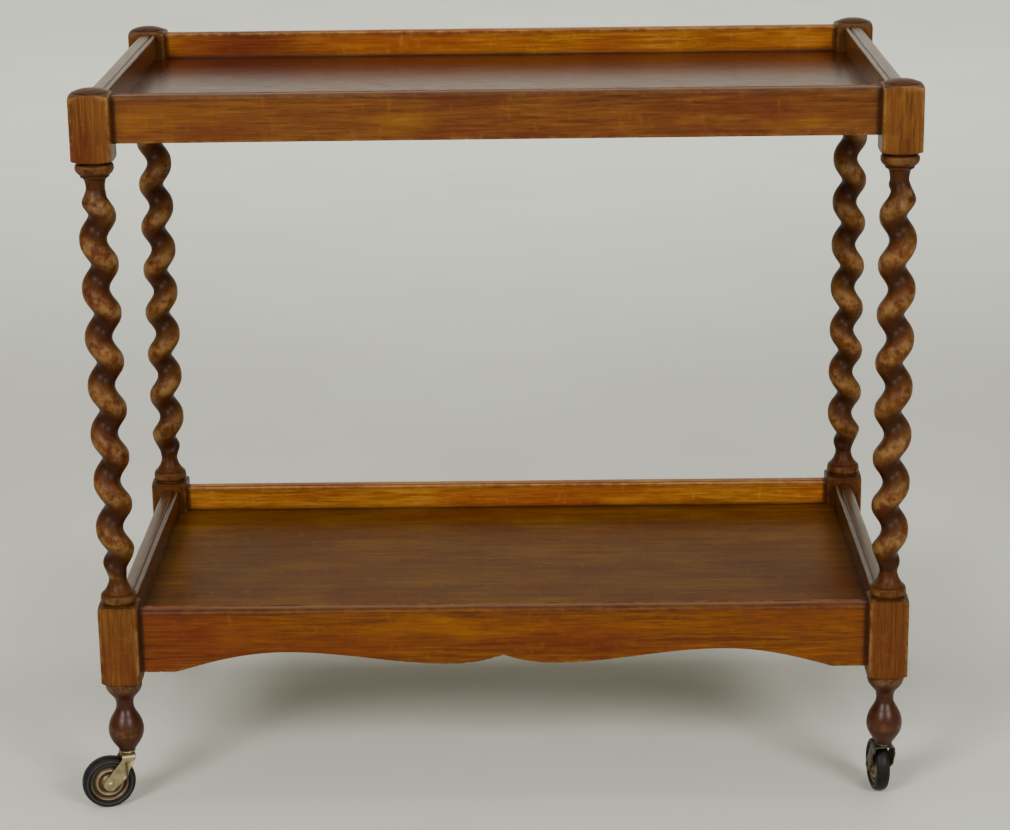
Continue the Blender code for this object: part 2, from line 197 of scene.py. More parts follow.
class Nodes:
    """Short calls for building one material's node tree."""

    def __init__(self, name):
        self.material = bpy.data.materials.new(name)
        self.material.use_nodes = True
        self.tree = self.material.node_tree
        self.shader = self.tree.nodes["Principled BSDF"]
        self.place = self.tree.nodes.new("ShaderNodeTexCoord").outputs["Object"]

    def feed(self, socket, value):
        if isinstance(value, bpy.types.NodeSocket):
            self.tree.links.new(value, socket)
        else:
            socket.default_value = value

    def stretched(self, scale, shift=(0, 0, 0)):
        mapping = self.tree.nodes.new("ShaderNodeMapping")
        mapping.inputs["Scale"].default_value = scale
        mapping.inputs["Location"].default_value = shift
        self.tree.links.new(self.place, mapping.inputs["Vector"])
        return mapping.outputs["Vector"]

    def noise(self, vector, detail, roughness=0.55, distortion=0.0):
        node = self.tree.nodes.new("ShaderNodeTexNoise")
        self.tree.links.new(vector, node.inputs["Vector"])
        node.inputs["Scale"].default_value = 1.0
        node.inputs["Detail"].default_value = detail
        node.inputs["Roughness"].default_value = roughness
        node.inputs["Distortion"].default_value = distortion
        return node.outputs["Fac"]

    def span(self, value, low, high, to_low=0.0, to_high=1.0):
        node = self.tree.nodes.new("ShaderNodeMapRange")
        self.feed(node.inputs["Value"], value)
        limits = {"From Min": low, "From Max": high, "To Min": to_low, "To Max": to_high}
        for socket, number in limits.items():
            node.inputs[socket].default_value = number
        return node.outputs["Result"]

    def maths(self, operation, first, second, clamp=False):
        node = self.tree.nodes.new("ShaderNodeMath")
        node.operation = operation
        node.use_clamp = clamp
        self.feed(node.inputs[0], first)
        self.feed(node.inputs[1], second)
        return node.outputs[0]

    def blend(self, share, first, second):
        node = self.tree.nodes.new("ShaderNodeMix")
        node.data_type = "RGBA"
        self.feed(node.inputs["Factor"], share)
        for socket, colour in ((node.inputs[6], first), (node.inputs[7], second)):
            self.feed(socket, (*colour, 1.0) if isinstance(colour, tuple) else colour)
        return node.outputs[2]

    def mark(self, name):
        node = self.tree.nodes.new("ShaderNodeAttribute")
        node.attribute_name = name
        return node.outputs["Fac"]

    def bump(self, height, strength, distance):
        node = self.tree.nodes.new("ShaderNodeBump")
        node.inputs["Strength"].default_value = strength
        node.inputs["Distance"].default_value = distance
        self.tree.links.new(height, node.inputs["Height"])
        self.tree.links.new(node.outputs["Normal"], self.shader.inputs["Normal"])

    def finish(self, **values):
        for socket, value in values.items():
            self.feed(self.shader.inputs[socket.replace("_", " ")], value)
        return self.material


def grain_scale(axis, along, across):
    """Texture scale of a grain that runs along one axis."""
    scale = [across, across, across]
    scale[axis] = along
    return tuple(scale)


def tinted(colour, red, green, blue):
    """A colour with each channel scaled by its own share."""
    return (colour[0] * red, colour[1] * green, colour[2] * blue)


def scaled(colour, share):
    """A colour made darker or lighter by one share."""
    return tinted(colour, share, share, share)


def oak(name, axis, tones, rough, specular, shift, blotch, coat=0.0, fibre=0.45, stained=None):
    """Stained and waxed oak: streaks, open pores, flecks, blotches, soiling, abraded edges, painted shade
    and highlights.

    tones are the dark, middle and light of the grain. stained is the colour of old dark polish,
    which lies where the mark "stain" is and carries the coat.
    """
    n = Nodes(name)
    dark, middle, light = tones
    offset = (shift, shift * 0.7, shift * 1.3)

    def grain(along, across, detail, roughness, distortion=0.0, place=offset):
        return n.noise(n.stretched(grain_scale(axis, along, across), place), detail, roughness, distortion)

    bands = grain(3.5, 75.0, 6.0, 0.60, 0.7)
    streaks = grain(20.0, 460.0, 6.0, 0.70, 0.3)
    pores = grain(50.0, 1000.0, 3.0, 0.60)
    cloud = grain(7.0, 16.0, 4.0, 0.55)
    patch = grain(9.0, 30.0, 4.0, 0.60, place=(shift + 7, 3, 1))
    drift = grain(5.0, 16.0, 4.0, 0.60, place=(shift * 2.1, 5, 2))
    fleck = grain(130.0, 70.0, 2.0, 0.50)
    pore_mask = n.span(pores, 0.55, 0.68)

    # Bare wood: bands, streaks, dark fibres and pores, then red, deep and golden clouds.
    tone = n.blend(n.span(bands, 0.34, 0.66, 0.25, 1.0), dark, middle)
    tone = n.blend(n.span(streaks, 0.46, 0.70, 0.0, 0.8), tone, light)
    tone = n.blend(n.span(streaks, 0.46, 0.34, 0.0, fibre), tone, scaled(dark, 0.45))
    tone = n.blend(n.maths("MULTIPLY", pore_mask, 0.50), tone, scaled(dark, 0.40))
    tone = n.blend(n.span(cloud, 0.46, 0.68, 0.0, blotch), tone, tinted(middle, 0.75, 0.45, 0.6))
    tone = n.blend(n.span(drift, 0.51, 0.64, 0.0, blotch), tone, tinted(middle, 0.60, 0.22, 0.5))
    tone = n.blend(n.span(patch, 0.55, 0.75, 0.0, blotch * 0.9), tone, tinted(light, 1.15, 1.2, 0.8))
    tone = n.blend(n.span(fleck, 0.60, 0.75, 0.0, 0.30), tone, light)

    if stained:
        coat = n.span(n.mark("stain"), 0.80, 0.98, 0.0, coat) if coat else 0.0
        polish = n.blend(n.span(streaks, 0.4, 0.65), stained, scaled(stained, 1.9))
        uneven = n.span(cloud, 0.30, 0.66, 1.05, 0.70)
        tone = n.blend(n.maths("MULTIPLY", n.mark("stain"), uneven, clamp=True), tone, polish)

    # Rubbed edges and painted highlights are paler and broken up; soiling and painted shade are nearly
    # black.
    broken = n.span(n.noise(n.stretched((90, 90, 90), offset), 5.0, 0.65), 0.42, 0.60)
    rubbed_and_highlit = n.maths("MULTIPLY", n.mark("wear_and_highlight"), broken, clamp=True)
    pale = (min(light[0] * 1.35, 0.6), min(light[1] * 1.75, 0.5), min(light[2] * 2.2 + 0.008, 0.3))
    tone = n.blend(n.maths("MULTIPLY", rubbed_and_highlit, 0.75), tone, pale)
    dirty_and_shaded = n.maths("MULTIPLY", n.mark("grime_and_shade"), n.span(cloud, 0.25, 0.75, 0.8, 1.0), clamp=True)
    tone = n.blend(dirty_and_shaded, tone, (0.013, 0.0045, 0.0015))

    roughness = n.span(streaks, 0.3, 0.7, rough - 0.05, rough + 0.08)
    relief = n.maths("SUBTRACT", n.maths("MULTIPLY", streaks, 0.6), n.maths("MULTIPLY", pore_mask, 0.45))
    n.bump(relief, 0.22, 0.0004)
    return n.finish(
        Base_Color=tone, Roughness=roughness, Specular_IOR_Level=specular,
        Coat_Weight=coat, Coat_Roughness=0.33,
    )


def plated_steel(name, tarnish_and_shade):
    """Plated sheet steel with brown stains and fine scratches, darkened by a given share of tarnish and
    painted shade.
    """
    n = Nodes(name)
    stain = n.noise(n.stretched((160, 160, 160)), detail=6.0, roughness=0.65)
    speck = n.noise(n.stretched((900, 900, 900)), detail=3.0)
    scratch = n.noise(n.stretched((2400, 500, 180)), detail=3.0)
    tone = n.blend(n.span(stain, 0.35, 0.68), (0.42, 0.36, 0.20), (0.25, 0.185, 0.09))
    tone = n.blend(n.span(speck, 0.60, 0.72, 0.0, 0.7), tone, (0.09, 0.05, 0.025))
    # Darkened towards near black by tarnish, and on the front right caster by painted shade.
    tone = n.blend(tarnish_and_shade, tone, (0.045, 0.040, 0.030))
    tone = n.blend(n.mark("grime_and_shade"), tone, (0.05, 0.035, 0.02))
    n.bump(n.maths("ADD", scratch, speck), 0.18, 0.0002)
    rough = n.span(stain, 0.3, 0.7, 0.26, 0.52)
    return n.finish(Base_Color=tone, Roughness=rough, Metallic=0.85)


def bronze_disc():
    """Brown enamelled disc, rubbed brighter on its raised rings."""
    n = Nodes("bronze_disc_worn")
    stain = n.noise(n.stretched((140, 140, 140)), detail=6.0, roughness=0.65)
    speck = n.noise(n.stretched((1100, 1100, 1100)), detail=3.0)
    tone = n.blend(n.span(stain, 0.35, 0.68), (0.170, 0.110, 0.052), (0.080, 0.050, 0.024))
    tone = n.blend(n.mark("wear_and_highlight"), tone, (0.24, 0.17, 0.095))
    tone = n.blend(n.mark("grime_and_shade"), tone, (0.02, 0.013, 0.008))
    tone = n.blend(n.span(speck, 0.62, 0.75, 0.0, 0.6), tone, (0.03, 0.02, 0.012))
    n.bump(speck, 0.2, 0.0002)
    rough = n.span(stain, 0.3, 0.7, 0.34, 0.55)
    return n.finish(Base_Color=tone, Roughness=rough, Metallic=0.45)


def black_rubber():
    """Aged moulded rubber, dusty in the hollows, with a painted bluish sheen on the ridges."""
    n = Nodes("black_rubber_aged")
    dust = n.noise(n.stretched((120, 120, 120)), detail=6.0, roughness=0.6)
    fine = n.noise(n.stretched((1500, 1500, 1500)), detail=3.0)
    clean, dusty, painted_ridge_sheen = (0.0045, 0.0038, 0.0030), (0.024, 0.019, 0.011), (0.045, 0.048, 0.052)
    tone = n.blend(n.span(dust, 0.45, 0.80, 0.0, 0.45), clean, dusty)
    # The ridges take a painted bluish-grey highlight.
    tone = n.blend(n.maths("MULTIPLY", n.mark("wear_and_highlight"), 0.5), tone, painted_ridge_sheen)
    n.bump(fine, 0.25, 0.0002)
    rough = n.span(dust, 0.3, 0.7, 0.38, 0.60)
    return n.finish(Base_Color=tone, Roughness=rough, Specular_IOR_Level=0.20)


# Legs.

def face_angles():
    """Azimuths round a leg, closer together towards the corners of its square blocks."""
    quarter = np.sin(np.linspace(-1, 1, POINTS_PER_FACE + 1)[:-1] * math.pi / 2) * math.pi / 4
    return np.concatenate([quarter + face * math.pi / 2 for face in range(4)])


def square_reach(azimuth, half, edge):
    """Distance to the side of a square whose corners are rounded to a small radius."""
    across = np.maximum(np.abs(np.cos(azimuth)), np.abs(np.sin(azimuth)))
    side = half / across
    corner = (half - edge) * math.sqrt(2)
    off = np.abs((azimuth % (math.pi / 2)) - math.pi / 4)
    inside = np.clip(edge ** 2 - (corner * np.sin(off)) ** 2, 0, None)
    rounded = corner * np.cos(off) + np.sqrt(inside)
    near_corner = corner * np.sin(off) < edge * 0.7071
    return np.where(near_corner, np.minimum(side, rounded), side)


def twist_envelope(z):
    """Largest radius the turner left at the two ends of the twist."""
    radius, height, rate = UPPER_NECK
    from_top = radius + rate * max(0.0, height - z) ** NECK_GROWTH_POWER
    radius, height, rate = LOWER_NECK
    from_bottom = radius + rate * max(0.0, z - height) ** NECK_GROWTH_POWER
    return min(from_top, from_bottom)


def soft_minimum(first, second, reach):
    """The lesser of two radii, with the corner between them eased over reach."""
    share = np.clip(0.5 + (second - first) / (2 * reach), 0, 1)
    return second * (1 - share) + first * share - reach * share * (1 - share)


def dome_height(radius):
    """Top of a leg: a low turned dome, a faint line round it, and corners that fall away."""
    dome = HEIGHT - DOME_DROP * (radius / DOME_RADIUS) ** 2.6
    corner = HEIGHT - DOME_DROP - 0.0034 * (np.clip(radius - DOME_RADIUS, 0, None) / 0.0090) ** 1.3
    line = 0.0004 * np.exp(-((radius - DOME_RADIUS) / 0.0006) ** 2)
    return np.where(radius < DOME_RADIUS, dome, corner) - line


def turned_stretch(points, steps=6):
    """Rings of a turned stretch: (height, radius) pairs joined by a smooth line."""
    return [("turned", z, radius) for z, radius in curve_through(points, steps)]


def under_shoulder(bottom, depth, inset, steps):
    """Rings of the rounded shoulder below a square block, down to its bottom."""
    rings = []
    for turn in np.linspace(0, 1, steps):
        drop = depth * math.sin(turn * math.pi / 2)
        radius = CORNER_REACH - inset * (1 - math.cos(turn * math.pi / 2))
        rings.append(("block", bottom + depth - drop, radius))
    return rings


def upper_shoulder(top, depth, inner, swell, steps):
    """Rings of the rounded shoulder above a square block, down from its top."""
    rings = []
    for turn in np.linspace(0, 1, steps):
        drop = depth * (1 - math.cos(turn * math.pi / 2))
        rings.append(("block", top - drop, inner + swell * math.sin(turn * math.pi / 2)))
    return rings


def leg_stations():
    """Every ring down the leg: its kind, its height and its turned radius.

    A dome ring holds its share of the outline instead of a height, and an arris ring its angle.
    """
    upper_radius, upper_height, _ = UPPER_NECK
    lower_radius, lower_height, _ = LOWER_NECK
    dome_shares = (
        0.02, 0.15, 0.3, 0.45, 0.57, 0.64, 0.68, 0.72, 0.76, 0.81, 0.87, 0.92, 0.955, 0.98, 1.0,
    )

    stations = [("dome", CAP_SHARE * share, None) for share in dome_shares]
    stations += [("arris", turn * math.pi / 2, None) for turn in (0.25, 0.5, 0.75, 1.0)]
    stations += [("block", z, PAST_CORNER) for z in np.linspace(0.7050, 0.6545, 8)]
    stations += under_shoulder(TOP_BLOCK_BOTTOM, 0.0040, 0.0108, 9)

    # A ring, a bead and the neck above the twist.
    stations += turned_stretch([
        (TOP_BLOCK_BOTTOM, 0.0158), (0.6475, 0.0150), (0.6461, 0.0149), (0.6455, 0.0160),
    ], 3)
    stations += turned_stretch([
        (0.6454, 0.0166), (0.6443, 0.0178), (0.6423, 0.0183), (0.6400, 0.0182), (0.6375, 0.0170),
        (0.6353, 0.0147),
    ])
    stations += turned_stretch([(0.6347, 0.0136), (0.6341, 0.0139), (0.6333, 0.0138), (0.6326, 0.0131)], 4)
    stations += turned_stretch([
        (0.6321, 0.0118), (0.6305, 0.0105), (0.6280, 0.0097), (0.6250, 0.0092), (upper_height, upper_radius),
    ])

    stations += [("twist", z, None) for z in np.arange(upper_height, lower_height, -TWIST_STEP)[1:]]

    # The neck, a ring and a hollow below the twist.
    stations += turned_stretch([
        (lower_height, lower_radius), (0.2355, 0.0088), (0.2310, 0.0102), (0.2270, 0.0124), (0.2237, 0.0150),
    ])
    stations += turned_stretch([
        (0.2232, 0.0158), (0.2217, 0.0169), (0.2190, 0.0175), (0.2165, 0.0176), (0.2147, 0.0170),
    ])
    stations += turned_stretch([(0.2141, 0.0160), (0.2132, 0.0155), (LOWER_BLOCK_TOP, 0.0156)], 3)

    stations += upper_shoulder(LOWER_BLOCK_TOP, 0.0085, 0.0176, 0.0093, 14)
    stations += [("block", z, PAST_CORNER) for z in np.linspace(0.2015, 0.1400, 8)]
    stations += under_shoulder(LOWER_BLOCK_BOTTOM, 0.0050, 0.0106, 10)

    # The ring under the lower block, then the vase-shaped foot.
    stations += turned_stretch([
        (LOWER_BLOCK_BOTTOM, 0.0174), (0.1298, 0.0178), (0.1260, 0.0178), (0.1222, 0.0166),
        (0.1186, 0.0141), (0.1155, 0.0114), (0.1137, 0.0102),
    ])
    stations += turned_stretch([
        (0.1132, 0.0096), (0.1098, 0.0088), (0.1060, 0.0085), (0.1023, 0.0091), (0.0978, 0.0112),
        (0.0930, 0.0140), (0.0873, 0.0163), (0.0822, 0.0173), (0.0794, 0.0174), (0.0762, 0.0171),
        (0.0714, 0.0157), (0.0667, 0.0132), (0.0630, 0.0107), (0.0602, 0.0088), (FOOT_BOTTOM, 0.0080),
    ])
    stations += [("turned", FOOT_BOTTOM, 0.0055)]
    return stations


def stain_depth(kind, z):
    """How much dark red polish a turned stretch holds, from 0 on the square blocks to 1 on the foot."""
    if kind in ("dome", "arris", "block"):
        return 0.0
    if z < LOWER_BLOCK_BOTTOM:
        return 1.0
    low = 1.0 - float(smooth_step((z - 0.245) / 0.050))
    high = float(smooth_step((z - 0.570) / 0.045))
    return 0.20 + max(0.30 * low, 0.55 * high)


def ring_marks(kind, z, radius, azimuth, reach, away, rear):
    """How grimy and how abraded each point of a ring is, with painted shade and painted highlights. rear is
    1 on the darker rear posts.
    """
    off_corner = np.abs((azimuth % (math.pi / 2)) - math.pi / 4)
    edge = np.exp(-(off_corner / 0.075) ** 2)
    if kind == "dome":
        # The faint line round the dome is darkened as painted shade.
        line = 0.9 * np.exp(-((reach - DOME_RADIUS) / 0.0009) ** 2)
        grime_and_shade = np.clip(line + 0.55 + 0.15 * rear, 0, 1)
        return grime_and_shade, np.where(reach > DOME_RADIUS, 0.45, 0.10)
    if kind in ("arris", "block"):
        step = min(abs(z - TOP_BLOCK_BOTTOM), abs(z - LOWER_BLOCK_TOP), abs(z - LOWER_BLOCK_BOTTOM))
        grime_and_shade = np.full_like(azimuth, 0.55 * math.exp(-step / 0.0015))
        wear_and_highlight = 0.85 * edge + (0.5 if kind == "arris" else 0.0)
        return grime_and_shade + 0.35 * rear, wear_and_highlight
    if kind == "twist":
        # The twist's valleys are darkened as soiling and painted shade, its crests lightened as rubbing and
        # painted highlight.
        return 0.72 * np.abs(np.sin(away / 2)) ** 3, 0.90 * np.abs(np.cos(away / 2)) ** 5
    grime_and_shade = np.full_like(azimuth, 0.30 * float(smooth_step((0.0150 - radius) / 0.006)))
    for groove in GROOVES:
        grime_and_shade = np.maximum(grime_and_shade, 0.9 * math.exp(-abs(z - groove) / 0.0005))
    return grime_and_shade, np.full_like(azimuth, 0.35 * float(smooth_step((radius - 0.0165) / 0.0012)))


def twist_angles(angles, z, hand, lift):
    """Azimuths of a twist ring's points, and how far each lies from the strand's crest.

    The grid of points turns with the twist, by whole turns between the necks.
    """
    upper, lower = UPPER_NECK[1], LOWER_NECK[1]
    whole_turns = round((upper - lower) / TWIST_PITCH)
    azimuth = angles + hand * math.tau * whole_turns * (upper - z) / (upper - lower)
    crest = math.pi / 2 + hand * (math.pi / 2 + math.tau * (TWIST_DATUM + lift - z) / TWIST_PITCH)
    return azimuth, azimuth - crest


def twist_reach(azimuth, away, z, seed):
    """Radius of each point of a twist ring, slightly uneven from the hand tool."""
    strand = sum(size * np.cos(order * away) for order, size in enumerate(STRAND_HARMONICS))
    envelope = twist_envelope(z)
    settled = float(smooth_step(min(UPPER_NECK[1] - z, z - LOWER_NECK[1]) / NECK_SETTLING))
    reach = envelope + (soft_minimum(strand, envelope, TWIST_SOFTENING) - envelope) * settled
    return reach * np.array([
        1 + wander((math.cos(a) * 0.018 + seed, math.sin(a) * 0.018, z), 0.03, 0.022) for a in azimuth
    ])


def leg_mesh(name, hand, lift, centre, seed, rear):
    """A whole post as one skin. hand is the way its twist turns, and lift raises the twist."""
    angles = face_angles()
    half = POST / 2
    rings, grime_and_shade_rings, wear_and_highlight_rings, stains = [], [], [], []
    for kind, z, radius in leg_stations():
        azimuth, away = angles.copy(), None
        if kind == "twist":
            azimuth, away = twist_angles(angles, z, hand, lift)
        outline = square_reach(azimuth, half, BLOCK_EDGE)
        height = np.full_like(azimuth, z)
        if kind == "dome":
            reach = outline * z
            height = dome_height(reach)
        elif kind == "arris":
            reach = outline * (CAP_SHARE + (1 - CAP_SHARE) * math.sin(z))
            height = dome_height(outline * CAP_SHARE) - 0.0021 * (1 - math.cos(z))
        elif kind == "block":
            reach = np.minimum(outline, radius)
        elif kind == "turned":
            reach = np.full_like(azimuth, radius)
        else:
            reach = twist_reach(azimuth, away, z, seed)
        grime_and_shade, wear_and_highlight = ring_marks(kind, z, radius, azimuth, reach, away, rear)
        x = centre[0] + reach * np.cos(azimuth)
        y = centre[1] + reach * np.sin(azimuth)
        rings.append(np.stack([x, y, height], axis=1))
        grime_and_shade_rings.append(grime_and_shade)
        wear_and_highlight_rings.append(wear_and_highlight)
        stain = np.full_like(azimuth, stain_depth(kind, float(np.mean(height))))
        if kind == "twist":
            stain = stain + np.clip(0.78 - stain, 0, None) * np.sin(away / 2) ** 2
        stains.append(stain)
    return rings_to_mesh(name, rings, {"grime_and_shade": grime_and_shade_rings, "wear_and_highlight": wear_and_highlight_rings, "stain": stains})


def make_legs():
    tones = ((0.057, 0.0165, 0.0025), (0.105, 0.037, 0.0065), (0.165, 0.069, 0.0140))
    for seed, corner in enumerate(CORNERS):
        low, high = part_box("leg_" + corner)
        centre = ((low[0] + high[0]) / 2, (low[1] + high[1]) / 2)
        hand = 1 if centre[0] * centre[1] > 0 else -1
        rear = 1.0 if centre[1] > 0 else 0.0
        finish = oak(
            "oak_leg_" + corner, 2, tones, rough=0.38, specular=0.09, shift=3.0 + seed, blotch=0.6,
            coat=0.26, fibre=0.22, stained=(0.016, 0.0028, 0.0007),
        )
        name = "turned_leg_" + corner
        mesh = leg_mesh(name, hand, TWIST_LIFTS[corner], centre, seed * 0.37, rear)
        place_piece(name, mesh, finish, "leg_" + corner, angle=50)


# Rails and aprons.

def rail_profile(top, bottom, thickness):
    """Section from the outer face at 0 to the inner face, with soiling, painted shade and rubbing for each
    point.
    """
    bead = 0.0021
    quirk = thickness - 2 * bead - 0.0018
    outline = [(p, 0.15, 0.65) for p in arc((0.0010, bottom + 0.0010), 0.0010, 270, 180, 3)]
    outline += [((0.0, bottom + 0.0022), 0.15, 0.25), ((0.0, bottom + 0.0045), 0.0, 0.0)]
    outline += [((0.0, bottom + (top - bottom) * share), 0.0, 0.0) for share in (0.25, 0.5, 0.75)]
    outline += [((0.0, top - 0.0060), 0.0, 0.0), ((0.0, top - 0.0042), 0.35, 0.0)]
    outline += [(p, 0.35, 0.25) for p in arc((0.0034, top - 0.0034), 0.0034, 180, 95, 6)]
    outline += [((0.0060, top + 0.0001), 0.10, 0.15), ((0.0090, top + 0.0001), 0.05, 0.15)]
    # The quirk beside the inner bead is darkened as soiling and painted shade.
    outline += [((quirk - 0.0004, top - 0.0002), 0.1, 0.10), ((quirk, top - 0.0006), 0.7, 0.0)]
    outline += [((quirk + 0.0006, top - 0.0017), 1.0, 0.0), ((quirk + 0.0012, top - 0.0017), 1.0, 0.0)]
    for point in arc((thickness - bead, top - bead), bead, 165, 0, 8):
        outline.append((point, 0.0 if point[1] > top - 0.0012 else 0.6, 0.40))
    outline += [((thickness, top - 0.0040), 0.2, 0.0), ((thickness, top - 0.0060), 0.0, 0.0)]
    outline += [((thickness, top - 0.0200), 0.0, 0.0), ((thickness, top - 0.0232), 0.35, 0.0)]
    outline += [((thickness, top - 0.0256), 0.95, 0.0), ((thickness, bottom + 0.0010), 0.3, 0.0)]
    outline += [(p, 0.2, 0.1) for p in arc((thickness - 0.0010, bottom + 0.0010), 0.0010, 0, -90, 3)]
    return outline


def apron_rise(across):
    """Height of the shaped lower edge above the apron's ends, at a distance from the middle."""
    if across >= WAVE_END:
        return 0.0
    if across >= WAVE_PEAK:
        return PEAK_RISE * math.sin(math.pi / 2 * (WAVE_END - across) / (WAVE_END - WAVE_PEAK))
    if across >= WAVE_LOBE:
        swing = math.cos(math.pi * (WAVE_PEAK - across) / (WAVE_PEAK - WAVE_LOBE))
        return LOBE_RISE + (PEAK_RISE - LOBE_RISE) * (1 + swing) / 2
    return LOBE_RISE + (CUSP_RISE - LOBE_RISE) * (1 - across / WAVE_LOBE) ** 2


def rail_mesh(name, node, axis, waved, seed, patch):
    """A rail swept along X (axis 0) or Y (axis 1) between the legs.

    patch is one patch of old dark stain: its middle, its reach and its depth.
    """
    low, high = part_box(node)
    side = 1 if (low[1 - axis] + high[1 - axis]) > 0 else -1
    outer = high[1 - axis] if side > 0 else low[1 - axis]
    thickness = high[1 - axis] - low[1 - axis]
    leg_inner = abs(leg_high[axis])
    start = -leg_inner - 0.0008
    stretch = 2 * abs(start)
    steps = 360 if axis == 0 else 190
    rings, grime_and_shade_rings, wear_and_highlight_rings, stains = [], [], [], []
    profile = rail_profile(high[2], low[2], thickness)
    shaped_height, chip_size = 0.020, 0.0022
    patch_middle, patch_reach, patch_depth = patch
    for step in range(steps + 1):
        along = start + stretch * step / steps
        rise = apron_rise(abs(along)) if waved else 0.0
        # Near each post the rail is darkened as painted shade, with some soiling.
        end = 1.0 - float(smooth_step((leg_inner - abs(along) - 0.0026) / 0.0022))
        ring, grime_and_shade, wear_and_highlight = [], [], []
        for (across, up), dirt_and_shade, rub in profile:
            share = max(0.0, 1 - (up - low[2]) / shaped_height)
            shift = wander((along, across * 3 + seed, up * 3), 0.05, 0.00022)
            chip = max(0.0, wander((along, seed + 5.0, up), 0.006, 1.0) - 0.42) * chip_size * rub
            level = up + rise * share + shift * 0.6 - chip * (1 if up > low[2] + shaped_height else -1)
            depth = outer - side * (across + chip * 0.6) + side * shift
            point = (along, depth, level) if axis == 0 else (depth, along, level)
            ring.append(point)
            grime_and_shade.append(max(dirt_and_shade, 0.80 * end))
            wear_and_highlight.append(min(1.0, rub + chip * 1500))
        rings.append(ring)
        grime_and_shade_rings.append(grime_and_shade)
        wear_and_highlight_rings.append(wear_and_highlight)
        stains.append([patch_depth * math.exp(-((along - patch_middle) / patch_reach) ** 2)] * len(ring))
    return rings_to_mesh(name, rings, {"grime_and_shade": grime_and_shade_rings, "wear_and_highlight": wear_and_highlight_rings, "stain": stains})


def make_rails():
    brown = ((0.052, 0.013, 0.001), (0.110, 0.033, 0.002), (0.172, 0.064, 0.007))
    front_gold = ((0.060, 0.012, 0.0006), (0.125, 0.034, 0.0010), (0.190, 0.065, 0.003))
    golden = ((0.125, 0.031, 0.001), (0.262, 0.087, 0.004), (0.380, 0.160, 0.017))
    # The rear apron's tones are lighter than the rear rail's, as painted light against the shade under the
    # top.
    painted_light_back_gold = ((0.140, 0.036, 0.003), (0.290, 0.100, 0.009), (0.420, 0.185, 0.035))
    side_tone = ((0.042, 0.011, 0.001), (0.088, 0.027, 0.003), (0.140, 0.054, 0.009))
    # The lower right rail takes a darker copy of the side tones, as painted shade.
    shaded = ((0.026, 0.006, 0.0005), (0.056, 0.016, 0.0015), (0.095, 0.035, 0.005))
    patches = {"top_rail_rear": (-0.262, 0.072, 0.98), "lower_apron_front": (-0.325, 0.040, 0.45)}
    looks = {
        "top_rail_front": (0, brown, 1.0),
        "top_rail_rear": (0, golden, 2.0),
        "lower_apron_front": (0, front_gold, 3.0),
        "lower_apron_rear": (0, painted_light_back_gold, 4.0),
        "top_rail_left": (1, side_tone, 5.0),
        "top_rail_right": (1, side_tone, 6.0),
        "lower_rail_left": (1, side_tone, 7.0),
        "lower_rail_right": (1, shaded, 8.0),
    }
    for node, (axis, tones, shift) in looks.items():
        rough, specular = (0.42, 0.16) if axis == 0 else (0.30, 0.42)
        finish = oak(
            "oak_" + node, axis, tones, rough=rough, specular=specular, shift=shift, blotch=0.6,
            stained=(0.060, 0.0055, 0.0012),
        )
        name = "moulded_" + node
        mesh = rail_mesh(name, node, axis, "apron" in node, shift, patches.get(node, (0.0, 1.0, 0.0)))
        place_piece(name, mesh, finish, node, angle=35)


# Panels.

def panel_mesh(name, node, seed):
    """A thin board, very slightly uneven, with dust and dark wax along its edges."""
    low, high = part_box(node)
    margin, unevenness, waxed_edge = 0.0030, 0.00035, 0.0045
    reach_x, reach_y = high[0] - margin, high[1] - margin
    columns, rows = 160, 84
    rings, grime_and_shade_rings = [], []
    for row in range(rows + 1):
        y = -reach_y + 2 * reach_y * row / rows
        ring, grime_and_shade = [], []
        for column in range(columns + 1):
            x = -reach_x + 2 * reach_x * column / columns
            lift = wander((x, y, seed), 0.16, unevenness) - unevenness
            ring.append((x, y, high[2] + lift))
            edge = min(reach_x - abs(x), reach_y - abs(y))
            grime_and_shade.append(0.75 * math.exp(-edge / waxed_edge))
        rings.append(ring)
        grime_and_shade_rings.append(grime_and_shade)
    mesh = rings_to_mesh(name, rings, {"grime_and_shade": grime_and_shade_rings}, closed=False, caps=False)
    bm = bmesh.new()
    bm.from_mesh(mesh)
    swept = bmesh.ops.extrude_face_region(bm, geom=bm.faces[:])["geom"]
    for item in swept:
        if isinstance(item, bmesh.types.BMVert):
            item.co.z = low[2]
    bmesh.ops.recalc_face_normals(bm, faces=bm.faces)
    bm.to_mesh(mesh)
    bm.free()
    return mesh


def make_panels():
    red = ((0.032, 0.004, 0.0002), (0.062, 0.010, 0.0003), (0.094, 0.020, 0.0006))
    brown = ((0.066, 0.018, 0.0006), (0.128, 0.044, 0.0014), (0.185, 0.080, 0.005))
    top = oak("oak_top_panel", 0, red, rough=0.17, specular=0.14, shift=9.0, blotch=0.30)
    lower = oak("oak_lower_panel", 0, brown, rough=0.33, specular=0.03, shift=10.0, blotch=0.50)
    for node, finish, seed in (("top_panel", top, 0.2), ("lower_panel", lower, 0.9)):
        name = "polished_" + node
        place_piece(name, panel_mesh(name, node, seed), finish, node)


# Casters. Each is built along +X from its swivel axis, then turned to its trail.

def spun(profile, sides, marks=None, along_y=False):
    """Rings of a profile of (radius, height) pairs spun about Z, or about Y for a wheel."""
    rings, values = [], []
    for side in range(sides):
        angle = math.tau * side / sides
        ring = []
        for radius, height in profile:
            if along_y:
                ring.append((radius * math.cos(angle), height, radius * math.sin(angle)))
            else:
                ring.append((radius * math.cos(angle), radius * math.sin(angle), height))
        rings.append(ring)
        values.append(marks or [0.0] * len(profile))
    rings.append(rings[0])
    values.append(values[0])
    return rings, values


